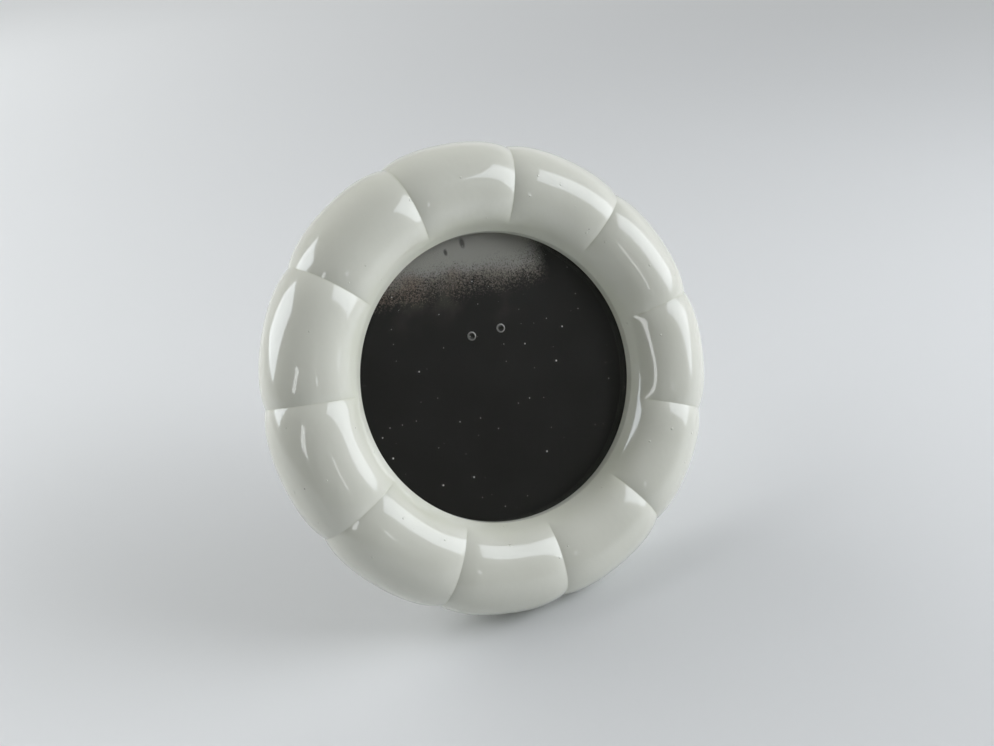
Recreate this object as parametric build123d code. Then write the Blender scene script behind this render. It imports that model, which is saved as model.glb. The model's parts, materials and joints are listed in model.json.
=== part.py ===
from build123d import *
import math
import os

# Round photo frame: a cast ring of swelling lobes with a glass and a black board
# behind its opening, held by turn buttons, standing on a folding easel leg.
# Millimetres, +Z up, the face towards -Y. Every piece is drawn with the ring
# upright, its axis on Y and the face of the glass on Y = 0. The finished frame
# is then leaned back onto its leg, with the middle of its footprint at the origin.

# Stance: how far the frame leans back, and how far the leg stands off the board
lean_angle = 30.0
leg_opening = 40.0

# Ceramic ring: section through the middle of a lobe, then the grooves between lobes
outer_radius = 100.0
opening_radius = 61.4
crest_radius = 81.6
front_height = 16.5
rim_depth = 14.0
rim_width = 5.5
back_rounding = 18.0
flank_turn = 65.0
lip_thickness = 3.6
lobe_count = 11
groove_at_crest = 1.85
groove_at_outside = 1.85
lobe_flatness = 4.2
lobe_stations = (-1.0, -0.88, -0.65, 0.0, 0.65, 0.88, 1.0)
rim_edge_round = 1.0

# Glass disc
glass_thickness = 2.0
glass_overlap = 3.2
glass_edge_bevel = 0.3

# Backing board, a core between two papers
board_core_thickness = 2.4
paper_thickness = 0.3
board_overlap = 2.6
print_space = 2.0

# Hollow rivets: the tube, the curled end and the made head
rivet_spacing = 13.8
board_rivet_height = 19.8
rivet_tube_radius = 1.4
rivet_bore_radius = 0.85
rivet_curl_radius = 1.95
rivet_curl_height = 0.45
rivet_head_radius = 2.4
rivet_head_height = 0.5

# Hinge of sheet steel
hinge_drop = 8.8
leaf_thickness = 0.8
leaf_width = 24.0
leaf_margin = 7.0
leaf_corner = 3.0
pin_radius = 1.25
pin_head_radius = 1.9
pin_head_height = 0.6
middle_knuckle_width = 9.4

# Easel leg, a core between two papers
leg_core_thickness = 2.4
leg_top_width = 42.0
leg_foot_width = 48.0
leg_corner = 9.0
leg_rivet_drop = 10.5
foot_spare = 0.6

# Turn buttons with their screws, washers and plugs
button_angles = (45.0, 135.0, 225.0, 315.0)
button_thickness = 1.2
button_width = 7.6
tongue_width = 5.6
tongue_overlap = 5.5
screw_radius = 1.5
screw_head_radius = 3.1
screw_head_height = 1.8
screw_slot_width = 0.9
screw_slot_depth = 0.9
washer_radius = 3.6
washer_thickness = 0.6
plug_radius = 3.0
plug_length = 10.0
screw_bite = 8.5

# Clearances
disc_clearance = 0.4
running_clearance = 0.05
seat_clearance = 0.1
turning_gap = 0.3
notch_clearance = 0.5
cutter_size = 400.0

# Places along Y, from the glass backwards
glass_front = 0.0
board_front = glass_front + glass_thickness + print_space
board_core_front = board_front + paper_thickness
board_core_back = board_core_front + board_core_thickness
board_back = board_core_back + paper_thickness
ledge_y = board_back + seat_clearance
button_front = ledge_y + running_clearance
washer_front = button_front + button_thickness + running_clearance
screw_head_front = washer_front + washer_thickness

# Radii of the glass, the board and the stepped recess that takes them
glass_radius = opening_radius + glass_overlap
glass_recess_radius = glass_radius + disc_clearance
board_radius = glass_recess_radius + board_overlap
board_recess_radius = board_radius + disc_clearance
back_turn = math.asin(rim_depth / back_rounding)
rim_radius = outer_radius - groove_at_outside - back_rounding * (1 - math.cos(back_turn))
recess_radius = rim_radius - rim_width
pivot_radius = (board_recess_radius + recess_radius) / 2
button_reach = pivot_radius - board_radius + tongue_overlap

# Hinge axis
knuckle_radius = pin_radius + running_clearance + leaf_thickness
knuckle_clear = knuckle_radius + turning_gap
axis_y = board_back + turning_gap + knuckle_radius
axis_z = board_rivet_height - hinge_drop
side_knuckle_start = middle_knuckle_width / 2 + turning_gap

# Leg in its own frame: hinge axis at the origin, hanging along -Z
leg_rear = knuckle_radius - leaf_thickness
leg_core_rear = leg_rear - paper_thickness
leg_core_front = leg_core_rear - leg_core_thickness
leg_front = leg_core_front - paper_thickness


def plate(outline, front, thickness):
    """Sheet with its outline in X and Z, from Y = front backwards."""
    return extrude(Plane.XZ.offset(-front) * outline, amount=-thickness)


def rod(radius, front, length):
    """Round bar along Y from Y = front backwards."""
    return plate(Circle(radius), front, length)


def knuckle(start, width):
    """Rolled knuckle of the hinge round the X axis, from X = start."""
    tube = Circle(knuckle_radius) - Circle(pin_radius + running_clearance)
    return extrude(Plane.YZ.offset(start) * tube, amount=width)


def eyelet(front, back):
    """Hollow rivet along Y that grips from Y = front to Y = back, curled end in front."""
    bore = rivet_bore_radius
    tube = rivet_tube_radius
    curl_middle = (bore + rivet_curl_radius) / 2
    curl = ThreePointArc(
        (bore, front), (curl_middle, front - rivet_curl_height), (rivet_curl_radius, front)
    )
    sides = Polyline(
        (rivet_curl_radius, front),
        (tube, front),
        (tube, back),
        (rivet_head_radius, back),
        (rivet_head_radius, back + rivet_head_height),
        (bore, back + rivet_head_height),
        (bore, front),
    )
    return revolve(make_face(curl + sides), Axis.Y)


def rivet_holes():
    """The two rivet holes of the hinge as a sketch, level with each other."""
    hole = Circle(rivet_tube_radius + running_clearance)
    return Sketch() + GridLocations(rivet_spacing, 0, 2, 1) * hole


def ring_section(groove_share):
    """Section of the ring, from the middle of a lobe (0) to the groove (1)."""
    height = front_height - groove_at_crest * groove_share
    reach = outer_radius - groove_at_outside * groove_share
    flank = EllipticalCenterArc(
        (crest_radius, 0), crest_radius - opening_radius, height, 90, arc_size=flank_turn
    )
    collar = Line(flank @ 1, (opening_radius, lip_thickness))
    shoulder = EllipticalCenterArc(
        (crest_radius, 0), reach - crest_radius, height, 0, arc_size=90
    )
    back = CenterArc((reach - back_rounding, 0), back_rounding, 0, -math.degrees(back_turn))
    inside = Polyline(back @ 1, (opening_radius, -rim_depth), (opening_radius, lip_thickness))
    return make_face(flank + collar + shoulder + back + inside)


def section_plane(angle):
    """Plane through the ring's axis, at an angle from the top, with its Y to the front."""
    turn = math.radians(angle)
    outwards = (math.sin(turn), 0, math.cos(turn))
    onwards = (math.cos(turn), 0, -math.sin(turn))
    return Plane(origin=(0, 0, 0), x_dir=outwards, z_dir=onwards)


def make_ring():
    """Lobes lofted from groove to groove, joined all round, with the stepped recess behind."""
    step = 360 / lobe_count
    stations = [
        section_plane(step / 2 * place) * ring_section(abs(place) ** lobe_flatness)
        for place in lobe_stations
    ]
    lobe = loft(stations)
    lobes = [Rot(Y=step * index) * lobe for index in range(lobe_count)]
    ring = lobes[0].fuse(*lobes[1:])
    past_rim = rim_depth + rim_edge_round
    recess = Polyline(
        (0, glass_front),
        (glass_recess_radius, glass_front),
        (glass_recess_radius, board_front),
        (board_recess_radius, board_front),
        (board_recess_radius, ledge_y),
        (recess_radius, ledge_y),
        (recess_radius, past_rim),
        (0, past_rim),
        close=True,
    )
    ring -= revolve(make_face(recess), Axis.Y)
    plug_hole = rod(
        plug_radius + running_clearance, ledge_y - plug_length, plug_length + seat_clearance
    )
    for spot in button_spots():
        ring -= spot * plug_hole
    inner_rim = ring.edges().filter_by(GeomType.CIRCLE).filter_by_position(
        Axis.Y, rim_depth - seat_clearance, rim_depth + seat_clearance
    )
    return fillet(inner_rim, rim_edge_round)


def button_spots():
    """Where each turn button's pivot stands, with its own Z pointing outwards."""
    return [Rot(Y=angle) * Pos(0, 0, pivot_radius) for angle in button_angles]


def make_glass():
    """Clear disc with seamed edges."""
    disc = rod(glass_radius, glass_front, glass_thickness)
    return chamfer(disc.edges(), glass_edge_bevel)


def board_layer(front, thickness):
    """One layer of the backing board, pierced for the hinge rivets."""
    outline = Circle(board_radius) - Pos(0, board_rivet_height) * rivet_holes()
    return plate(outline, front, thickness)


def make_board_leaf():
    """Hinge leaf on the board, with a knuckle at each side."""
    low = axis_z + knuckle_clear
    high = board_rivet_height + leaf_margin
    blank = Pos(0, (low + high) / 2) * Rectangle(leaf_width, high - low)
    blank = fillet(blank.vertices().group_by(Axis.Y)[-1], leaf_corner)
    blank -= Pos(0, board_rivet_height) * rivet_holes()
    knuckle_width = leaf_width / 2 - side_knuckle_start
    tab_middle = side_knuckle_start + knuckle_width / 2
    for side in (-1, 1):
        blank += Pos(side * tab_middle, (axis_z + low) / 2) * Rectangle(knuckle_width, low - axis_z)
    leaf = plate(blank, board_back, leaf_thickness)
    for start in (-leaf_width / 2, side_knuckle_start):
        leaf += Pos(0, axis_y, axis_z) * knuckle(start, knuckle_width)
    return leaf


def make_leg_leaf():
    """Hinge leaf on the rear of the leg, with one knuckle in the middle, in the leg's frame."""
    low = -(leg_rivet_drop + leaf_margin)
    blank = Pos(0, (low - knuckle_clear) / 2) * Rectangle(leaf_width, -knuckle_clear - low)
    blank = fillet(blank.vertices().group_by(Axis.Y)[0], leaf_corner)
    blank -= Pos(0, -leg_rivet_drop) * rivet_holes()
    blank += Pos(0, -knuckle_clear / 2) * Rectangle(middle_knuckle_width, knuckle_clear)
    leaf = plate(blank, leg_rear, leaf_thickness)
    return leaf + knuckle(-middle_knuckle_width / 2, middle_knuckle_width)


def make_pin():
    """Hinge pin with a peened head at each end."""
    half = leaf_width / 2 + running_clearance
    pin = extrude(Plane.YZ * Circle(pin_radius), amount=half, both=True)
    head = Circle(pin_head_radius)
    for side in (-1, 1):
        pin += extrude(Plane.YZ.offset(side * half) * head, amount=side * pin_head_height)
    return Pos(0, axis_y, axis_z) * pin


def leg_layer(front, thickness, length):
    """One layer of the leg in the leg's frame, with the notch that clears the hinge."""
    top = leg_top_width / 2
    foot = leg_foot_width / 2
    shoulder = length / 4
    end = -length - foot_spare
    outline = Polygon(
        (-top, shoulder), (-top, 0), (-foot, end), (foot, end), (top, 0), (top, shoulder), align=None
    )
    outline = fillet(outline.vertices().group_by(Axis.Y)[0], leg_corner)
    notch_width = leaf_width + 2 * (running_clearance + pin_head_height + notch_clearance)
    notch_floor = -(knuckle_clear + turning_gap)
    outline -= Pos(0, (shoulder + notch_floor) / 2) * Rectangle(notch_width, shoulder - notch_floor)
    outline -= Pos(0, -leg_rivet_drop) * rivet_holes()
    return plate(outline, front, thickness)


def make_button():
    """Turn button at its pivot, tapering to its tongue along -Z."""
    tip = Pos(0, tongue_width / 2 - button_reach) * Circle(tongue_width / 2)
    outline = make_hull(Circle(button_width / 2).edges() + tip.edges())
    outline -= Circle(screw_radius + running_clearance)
    return plate(outline, button_front, button_thickness)


def make_screw():
    """Slotted screw of a turn button, from its head down into the plug."""
    head = rod(screw_head_radius, screw_head_front, screw_head_height)
    slot_front = screw_head_front + screw_head_height - screw_slot_depth
    slot = Rectangle(2 * screw_head_radius, screw_slot_width)
    head -= plate(slot, slot_front, screw_slot_depth)
    shank_front = ledge_y - screw_bite
    return head + rod(screw_radius, shank_front, screw_head_front - shank_front)


def make_washer():
    """Flat washer between a turn button and its screw head."""
    ring = Circle(washer_radius) - Circle(screw_radius + running_clearance)
    return plate(ring, washer_front, washer_thickness)


def make_plug():
    """Plug set in the ceramic for a turn button's screw."""
    body = rod(plug_radius, ledge_y - plug_length, plug_length)
    return body - rod(screw_radius + running_clearance, ledge_y - screw_bite, screw_bite)


def at_spots(piece):
    """One copy of a turn button's fitting at every pivot, as separate solids."""
    return Compound([spot * piece for spot in button_spots()])


def rivet_pair(front, back, height):
    """The two rivets of a hinge leaf, as separate solids."""
    rivet = eyelet(front, back)
    places = (-rivet_spacing / 2, rivet_spacing / 2)
    return Compound([Pos(x, 0, height) * rivet for x in places])


# The ring settles how high the frame's middle stands, and so how long the leg is
ring = make_ring()
ground = (Rot(X=-lean_angle) * ring).bounding_box().min.Z
lean = math.radians(lean_angle)
axis_height = axis_z * math.cos(lean) - axis_y * math.sin(lean) - ground
leg_length = axis_height / math.cos(math.radians(leg_opening - lean_angle))
hinge_place = Pos(0, axis_y, axis_z) * Rot(X=leg_opening)

# The leg's top is cut to lie on the board when it is open, and its foot to lie on the ground
cutter = Box(cutter_size, cutter_size, cutter_size)
board_side = Pos(0, board_back + seat_clearance - cutter_size / 2, 0) * cutter
below_ground = Rot(X=lean_angle) * Pos(0, 0, ground - cutter_size / 2) * cutter


def placed_leg_layer(front, thickness):
    """A layer of the leg at its open place, cut at the board and at the ground."""
    return hinge_place * leg_layer(front, thickness, leg_length) - board_side - below_ground


pieces = {
    "ceramic_ring": ring,
    "glass_disc": make_glass(),
    "board_front_paper": board_layer(board_front, paper_thickness),
    "board_core": board_layer(board_core_front, board_core_thickness),
    "board_rear_paper": board_layer(board_core_back, paper_thickness),
    "hinge_board_leaf": make_board_leaf(),
    "board_rivets": rivet_pair(board_front, board_back + leaf_thickness, board_rivet_height),
    "hinge_pin": make_pin(),
    "hinge_leg_leaf": hinge_place * make_leg_leaf(),
    "leg_rivets": hinge_place * rivet_pair(leg_front, leg_rear + leaf_thickness, -leg_rivet_drop),
    "leg_front_paper": placed_leg_layer(leg_front, paper_thickness),
    "leg_core": placed_leg_layer(leg_core_front, leg_core_thickness),
    "leg_rear_paper": placed_leg_layer(leg_core_rear, paper_thickness),
    "button_screws": at_spots(make_screw()),
    "button_washers": at_spots(make_washer()),
    "screw_plugs": at_spots(make_plug()),
}
for number, spot in enumerate(button_spots(), start=1):
    pieces[f"turn_button_{number}"] = spot * make_button()

# Lean the frame back and set the middle of its footprint at the origin
leaned = {name: Rot(X=-lean_angle) * piece for name, piece in pieces.items()}
extent = Compound(list(leaned.values())).bounding_box()
set_down = Pos(0, -(extent.min.Y + extent.max.Y) / 2, -ground)

os.makedirs("parts", exist_ok=True)
for name, piece in leaned.items():
    export_step(set_down * piece, f"parts/{name}.step")

print("leg length", round(leg_length, 2), "extent", extent.size)
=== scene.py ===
"""Looks of a round ceramic photo frame that stands on a folding easel leg.

Every piece is built in the upright frame, where the ring's axis lies on Y, the face looks
towards -Y and the glass's face lies on Y = 0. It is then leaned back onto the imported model.
Lengths are in millimetres and angles in degrees, unless a docstring says otherwise.
"""

import json
import logging
import math
from dataclasses import dataclass, field
from enum import Enum
from typing import Any, Callable, Sequence, Union

import bpy
from mathutils import Matrix, Vector, noise

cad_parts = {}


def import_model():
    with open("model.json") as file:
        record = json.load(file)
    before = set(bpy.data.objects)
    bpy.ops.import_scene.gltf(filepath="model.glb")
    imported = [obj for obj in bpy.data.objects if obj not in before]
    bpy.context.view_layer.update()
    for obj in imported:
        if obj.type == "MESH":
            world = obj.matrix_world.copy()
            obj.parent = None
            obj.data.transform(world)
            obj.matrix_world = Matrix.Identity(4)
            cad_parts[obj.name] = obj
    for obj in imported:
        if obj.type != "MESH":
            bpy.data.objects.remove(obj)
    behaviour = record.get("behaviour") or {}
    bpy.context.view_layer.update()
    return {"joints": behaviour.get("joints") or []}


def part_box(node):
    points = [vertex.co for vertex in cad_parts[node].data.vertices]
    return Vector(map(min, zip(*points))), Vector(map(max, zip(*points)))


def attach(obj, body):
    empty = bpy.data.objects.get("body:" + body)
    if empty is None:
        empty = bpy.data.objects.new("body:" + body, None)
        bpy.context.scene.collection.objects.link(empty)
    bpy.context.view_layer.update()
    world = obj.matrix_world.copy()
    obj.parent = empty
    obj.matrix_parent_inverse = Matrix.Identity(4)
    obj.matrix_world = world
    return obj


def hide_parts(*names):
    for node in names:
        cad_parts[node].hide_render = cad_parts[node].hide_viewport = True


LOG = logging.getLogger("photo_frame")
MM = 0.001
WELD = 0.002 * MM
REARWARDS = Matrix.Rotation(-math.pi / 2, 4, "X")
Triple = tuple[float, float, float]
Colour = Triple
Point2 = tuple[float, float]
Number = Union["Wire", float]


class Side(Enum):
    """A side of the frame, as a sign along X."""

    LEFT = -1
    RIGHT = 1


class Layer(Enum):
    """A layer of a covered board, as its CAD node's name ends."""

    FRONT = "front_paper"
    CORE = "core"
    REAR = "rear_paper"


class Beam(Enum):
    """What a lamp does: whether polish mirrors it, and whether it lights dull surfaces."""

    MIRRORED = (True, False)
    LIGHTING = (False, True)


class Tint(Enum):
    """Colours of the lamps' light."""

    COLD = (0.93, 0.99, 1.06)
    COOL = (0.97, 0.99, 1.03)
    PLAIN = (0.98, 0.99, 1.0)


@dataclass(frozen=True)
class Stance:
    """How the frame leans and where its middle stands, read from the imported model.

    Attributes:
        middle: Centre of the glass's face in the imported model, in metres.
        lean: Angle by which the frame leans back, in radians.
        hinge: Place of the leg's hinge axis in the upright frame.
        opening: Angle between the board and the open leg, in radians.
        pivots: Places of the turn buttons' pivots in the upright frame.
    """

    middle: Vector
    lean: float
    hinge: Vector
    opening: float
    pivots: tuple[Vector, ...]

    @classmethod
    def read(cls, joints: list[dict[str, Any]], glass_thickness: float) -> "Stance":
        """Works the stance out from the joints and the glass disc's box.

        Args:
            joints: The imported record's joints.
            glass_thickness: Thickness of the glass.

        Returns:
            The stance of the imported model.
        """
        by_name = {joint["name"]: joint for joint in joints}
        backwards = Vector(by_name["button_1_turn"]["axis"])
        low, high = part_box("glass_disc")
        middle = (low + high) / 2 - backwards * (glass_thickness / 2 * MM)
        lean = math.atan2(-backwards.z, backwards.y)
        bare = cls(middle, lean, Vector(), 0.0, ())
        fold = by_name["leg_fold"]
        turns = [by_name[name]["pos_m"] for name in sorted(by_name) if name.startswith("button_")]
        return cls(
            middle,
            lean,
            bare.upright(Vector(fold["pos_m"])),
            math.radians(-fold["range_deg"][0]),
            tuple(bare.upright(Vector(spot)) for spot in turns),
        )

    @property
    def place(self) -> Matrix:
        """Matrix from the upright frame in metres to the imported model."""
        return Matrix.Translation(self.middle) @ Matrix.Rotation(-self.lean, 4, "X")

    @property
    def leg_place(self) -> Matrix:
        """Matrix from the leg's own frame, with the hinge axis at its origin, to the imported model."""
        return self.place @ Matrix.Translation(self.hinge * MM) @ Matrix.Rotation(self.opening, 4, "X")

    def upright(self, point: Vector) -> Vector:
        """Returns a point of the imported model, given in metres, in the upright frame."""
        return self.place.inverted() @ point / MM


def maths(operation: str, swapped: bool = False) -> Callable[..., "Wire"]:
    """Makes a method that adds one Math node.

    Args:
        operation: What the node does.
        swapped: Whether the wire comes last, as in a reflected operator.

    Returns:
        The method.
    """

    def method(wire: "Wire", *others: Number) -> "Wire":
        """Returns the node's result for the wire and the other values."""
        values = (*others, wire) if swapped else (wire, *others)
        return wire.nodes.node("ShaderNodeMath", {"operation": operation}, dict(enumerate(values)))

    return method


class Wire:
    """A shader socket that adds Math nodes when it is used in an expression."""

    __add__ = __radd__ = maths("ADD")
    __sub__ = maths("SUBTRACT")
    __rsub__ = maths("SUBTRACT", swapped=True)
    __mul__ = __rmul__ = maths("MULTIPLY")
    __truediv__ = maths("DIVIDE")
    __pow__ = maths("POWER")
    __abs__ = maths("ABSOLUTE")
    cosine = maths("COSINE")
    turn_from = maths("ARCTAN2")

    def __init__(self, nodes: "Nodes", socket: bpy.types.NodeSocket) -> None:
        """Keeps the socket and the node tree that it belongs to."""
        self.nodes = nodes
        self.socket = socket

    def length_with(self, other: Number) -> "Wire":
        """Returns the length of the vector with sides self and other."""
        return (self * self + other * other) ** 0.5

    def beside(self, output: str) -> "Wire":
        """Returns another output of the same node."""
        return Wire(self.nodes, self.socket.node.outputs[output])

    def rise(self, start: float, end: float) -> "Wire":
        """Returns a smooth step from 0 at start to 1 at end, where end may be the smaller.

        Args:
            start: Value of self where the step leaves 0.
            end: Value of self where the step reaches 1.

        Returns:
            The step.
        """
        low, high, first, last = (start, end, 0.0, 1.0) if start < end else (end, start, 1.0, 0.0)
        return self.nodes.node(
            "ShaderNodeMapRange",
            {"interpolation_type": "SMOOTHSTEP"},
            {"Value": self, "From Min": low, "From Max": high, "To Min": first, "To Max": last},
        )


class Nodes:
    """A node tree of a material or of the room."""

    def __init__(self, tree: bpy.types.NodeTree) -> None:
        """Empties the tree."""
        self.tree = tree
        self.tree.nodes.clear()

    def node(
        self,
        kind: str,
        settings: dict[str, Any] | None = None,
        sockets: dict[str | int, Any] | None = None,
        out: str | int | None = 0,
    ) -> Wire | None:
        """Adds one node.

        Args:
            kind: The node's type.
            settings: The node's own properties.
            sockets: Values or wires for its inputs, by name or number, with colours as three numbers.
            out: Name or number of the output to return, or None for a node without one.

        Returns:
            That output, if there is one.
        """
        made = self.tree.nodes.new(kind)
        for name, value in (settings or {}).items():
            setattr(made, name, value)
        for name, value in (sockets or {}).items():
            socket = made.inputs[name]
            if isinstance(value, Wire):
                self.tree.links.new(value.socket, socket)
            else:
                socket.default_value = (*value, 1.0) if socket.type == "RGBA" else value
        return None if out is None else Wire(self, made.outputs[out])

    def axes(self, point: Wire) -> tuple[Wire, Wire, Wire]:
        """Returns the X, Y and Z of a point."""
        first = self.node("ShaderNodeSeparateXYZ", sockets={"Vector": point})
        return first, first.beside("Y"), first.beside("Z")

    def ray(self, kind: str) -> Wire:
        """Returns 1 for the rays of one kind and 0 for all others."""
        return self.node("ShaderNodeLightPath", out=kind)

    def mix(self, share: Number, first: Any, second: Any) -> Wire:
        """Returns a colour between first, at share 0, and second, at share 1."""
        sockets = {"Factor": share, 6: first, 7: second}
        return self.node("ShaderNodeMix", {"data_type": "RGBA"}, sockets, out=2)


@dataclass(frozen=True)
class Specks:
    """Round specks scattered over a surface.

    Attributes:
        spacing: Distance between the places where a speck may be.
        radius: Radius of the largest speck.
        share: Share of the places that have one.
    """

    spacing: float
    radius: float
    share: float


class Paint(Nodes):
    """The node tree of one material."""

    def __init__(self, name: str) -> None:
        """Starts an empty material of that name."""
        self.material = bpy.data.materials.new(name)
        self.material.use_nodes = True
        super().__init__(self.material.node_tree)

    def local(self, place: Matrix) -> tuple[Wire, Wire, Wire, Wire]:
        """Reads a piece's own frame.

        Args:
            place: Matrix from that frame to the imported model.

        Returns:
            The point, and its X, Y and Z.
        """
        sockets = {
            "Vector": self.node("ShaderNodeTexCoord", out="Object"),
            "Location": place.to_translation(),
            "Rotation": place.to_euler(),
            "Scale": (MM, MM, MM),
        }
        point = self.node("ShaderNodeMapping", {"vector_type": "TEXTURE"}, sockets)
        return (point, *self.axes(point))

    def stretch(self, point: Wire, scale: Triple) -> Wire:
        """Returns a point scaled by its own amount along each axis."""
        return self.node("ShaderNodeVectorMath", {"operation": "MULTIPLY"}, {0: point, 1: scale})

    def clouds(self, point: Wire, per_mm: float, detail: float = 2.0, rough: float = 0.5) -> Wire:
        """Adds a noise.

        Args:
            point: Where to read it.
            per_mm: How many features there are to a millimetre.
            detail: How many finer layers it has.
            rough: How strong the finer layers are.

        Returns:
            A value about 0.5.
        """
        return self.node(
            "ShaderNodeTexNoise",
            sockets={"Vector": point, "Scale": per_mm, "Detail": detail, "Roughness": rough},
        )

    def specks(self, across: Wire, along: Wire, scatter: Specks) -> Wire:
        """Adds scattered round specks.

        Args:
            across: Place across the surface.
            along: Place along the surface.
            scatter: How they are scattered.

        Returns:
            1 in the middle of a speck, and 0 away from it.
        """
        point = self.node("ShaderNodeCombineXYZ", sockets={"X": across, "Y": along})
        cell = self.node(
            "ShaderNodeTexVoronoi",
            {"voronoi_dimensions": "2D"},
            {"Vector": point, "Scale": 1 / scatter.spacing},
            out="Distance",
        )
        chance = self.node("ShaderNodeSeparateColor", sockets={"Color": cell.beside("Color")})
        present = chance.rise(1 - scatter.share, 1.005 - scatter.share)
        size = present * (0.35 + 0.65 * chance.beside("Green"))
        near = 1 - cell * (scatter.spacing / scatter.radius) / (size + 0.001)
        return near.rise(0.0, 0.6)

    def bump(self, height: Wire, depth: float, strength: float = 1.0) -> Wire:
        """Adds relief.

        Args:
            height: Height from 0 to 1.
            depth: What a height of 1 stands for.
            strength: Share of the relief that shows.

        Returns:
            The normal.
        """
        return self.node(
            "ShaderNodeBump", sockets={"Strength": strength, "Distance": depth * MM, "Height": height}
        )

    def shader(self, **sockets: Any) -> Wire:
        """Adds a Principled shader.

        Args:
            **sockets: Its inputs, with underscores for the spaces in their names.

        Returns:
            The shader.
        """
        named = {name.replace("_", " "): value for name, value in sockets.items()}
        return self.node("ShaderNodeBsdfPrincipled", sockets=named)

    def finish(self, shader: Wire | None = None, **sockets: Any) -> bpy.types.Material:
        """Puts a shader on the material's surface.

        Args:
            shader: The shader, or None for a Principled one.
            **sockets: Inputs of the Principled one, written as for shader().

        Returns:
            The material.
        """
        surface = self.shader(**sockets) if shader is None else shader
        self.node("ShaderNodeOutputMaterial", sockets={"Surface": surface}, out=None)
        return self.material


@dataclass(frozen=True)
class Glaze:
    """Glossy ivory glaze that pools in the grooves and is wiped off the foot rim; its darker, greener
    inner flank is partly pooled glaze and partly painted shade.
    """

    crest: Colour = (0.772, 0.778, 0.696)
    pooled_and_shaded: Colour = (0.652, 0.666, 0.540)
    wiped: Colour = (0.760, 0.730, 0.660)
    pit: Colour = (0.230, 0.200, 0.160)
    groove_reach: float = 0.08
    groove_start: Point2 = (63.5, 69.0)
    # darker towards the opening: partly pooled glaze, partly painted shade on the inner flank
    lip_pool_and_shade: Point2 = (74.0, 62.0)
    pits: Specks = Specks(13.0, 0.36, 0.07)
    bumps: Specks = Specks(11.0, 0.75, 0.22)
    section_radius: float = 18.0
    relief: float = 0.16

    def dress(
        self, place: Matrix, lobe_count: int, crest: float, rim_depth: float, rim_inside: float
    ) -> bpy.types.Material:
        """Makes the material.

        Args:
            place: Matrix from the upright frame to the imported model.
            lobe_count: Number of lobes round the ring, with one at the top.
            crest: Radius of the lobes' crests.
            rim_depth: How far the foot rim lies behind the glass's face.
            rim_inside: Inner radius of the foot rim.

        Returns:
            The material.
        """
        paint = Paint("ivory_glaze")
        point, x, y, z = paint.local(place)
        radius, turn = x.length_with(z), x.turn_from(z)
        lobe = abs((turn * (lobe_count / 2)).cosine())
        recess = y.rise(0.5, 2.0) * radius.rise(rim_inside + 0.5, rim_inside - 0.5)
        groove = lobe.rise(self.groove_reach, 0.0) * radius.rise(*self.groove_start) * (1 - recess)
        flow = paint.clouds(point, 0.035, 3.0)
        # painted shade: the inner flank turns darker and greener towards the opening, partly glaze
        # pooling and partly shade painted into the colour
        pool_and_shade = groove * 0.3 + radius.rise(*self.lip_pool_and_shade) * 0.45 + (flow - 0.5) * 0.9
        rim = radius.rise(rim_inside - 0.6, rim_inside + 0.6)
        bare = y.rise(rim_depth - 0.7, rim_depth - 0.15) * rim
        around, over = turn * crest, y.turn_from(radius - crest) * self.section_radius
        pits = paint.specks(around, over, self.pits)
        bumps = paint.specks(around, over * -1.0, self.bumps)
        chalk = paint.clouds(point, 0.9, 4.0)
        colour = paint.mix(pool_and_shade.rise(0.0, 1.0), self.crest, self.pooled_and_shaded)
        colour = paint.mix(pits * 0.8, colour, self.pit)
        colour = paint.mix(bare * (0.75 + 0.25 * chalk), colour, self.wiped)
        waves = paint.clouds(point, 0.12, 2.0) * 0.9 + paint.clouds(point, 0.4, 1.0) * 0.1
        skin = waves + chalk * bare * 0.1 + bumps * 1.5 - pits * 0.6
        return paint.finish(
            Base_Color=colour,
            Roughness=0.30 + 0.05 * flow + bare * 0.5,
            Specular_IOR_Level=0.12,
            Coat_Weight=1 - bare,
            Coat_Roughness=0.02,
            Coat_IOR=1.62,
            Normal=paint.bump(skin, self.relief),
        )


@dataclass(frozen=True)
class ClearGlass:
    """Clear float glass with dust on its face."""

    tint: Colour = (0.965, 0.985, 0.975)
    dust: Colour = (0.740, 0.720, 0.690)
    large: Specks = Specks(17.0, 0.55, 0.45)
    small: Specks = Specks(6.5, 0.275, 0.25)

    def dress(self, place: Matrix, front: float) -> bpy.types.Material:
        """Makes the material.

        Args:
            place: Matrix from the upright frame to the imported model.
            front: Depth of the glass's face.

        Returns:
            The material.
        """
        paint = Paint("clear_glass")
        point, x, y, z = paint.local(place)
        face = y.rise(front + 0.12, front + 0.02)
        large = paint.specks(x, z, self.large)
        small = paint.specks(z, x, self.small)
        film = paint.clouds(point, 0.09, 4.0).rise(0.45, 0.85)
        clear = paint.shader(Base_Color=self.tint, Roughness=0.0, IOR=1.5, Transmission_Weight=1.0)
        dusty = paint.shader(Base_Color=self.dust, Roughness=0.9)
        cover = face * (large + small * 0.8 + film * 0.004)
        return paint.finish(paint.node("ShaderNodeMixShader", sockets={0: cover, 1: clear, 2: dusty}))


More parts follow.
